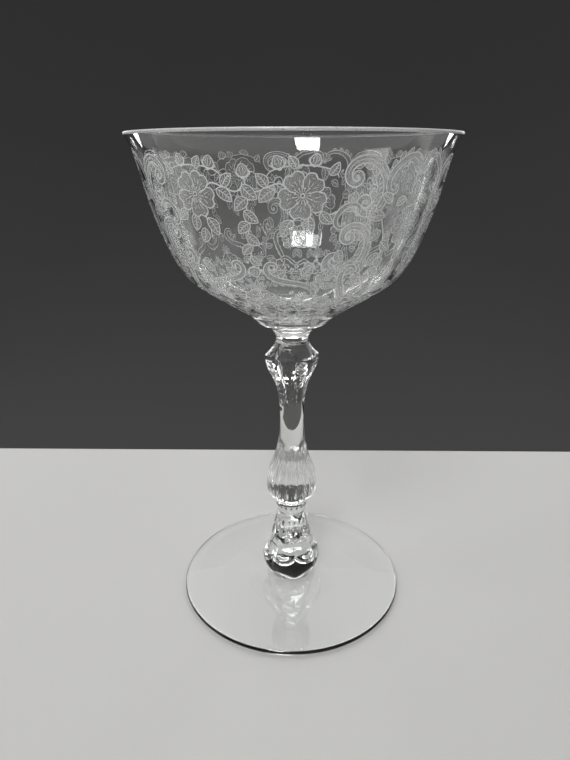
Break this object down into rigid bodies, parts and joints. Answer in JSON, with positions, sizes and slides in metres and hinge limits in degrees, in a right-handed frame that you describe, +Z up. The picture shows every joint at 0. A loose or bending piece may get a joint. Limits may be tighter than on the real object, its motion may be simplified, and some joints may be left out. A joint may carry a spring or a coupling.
{
  "type": "champagne coupe glass",
  "caption": "Tall-stemmed clear glass coupe for sparkling wine: thin flared bowl with an etched rose and scroll band, pressed ornamental stem and disc foot.",
  "frame": {"origin": "on the glass's axis, in the plane that the foot rests on", "axes": "+Z up along the glass's axis, from the foot to the rim; +X and +Y are level, and one valley of the stem's six-fold pattern points 80 degrees from +X towards -Y"},
  "size_m": [0.0992, 0.0992, 0.162],
  "materials": {
    "bowl_glass": "clear blown lead glass, fire-polished rim, acid-etched frosted band outside",
    "stem_glass": "clear pressed glass, fire-polished",
    "foot_glass": "clear glass, polished"
  },
  "bodies": {
    "root": {"bowl": "bowl_glass", "stem": "stem_glass", "foot": "foot_glass"}
  },
  "joints": []
}
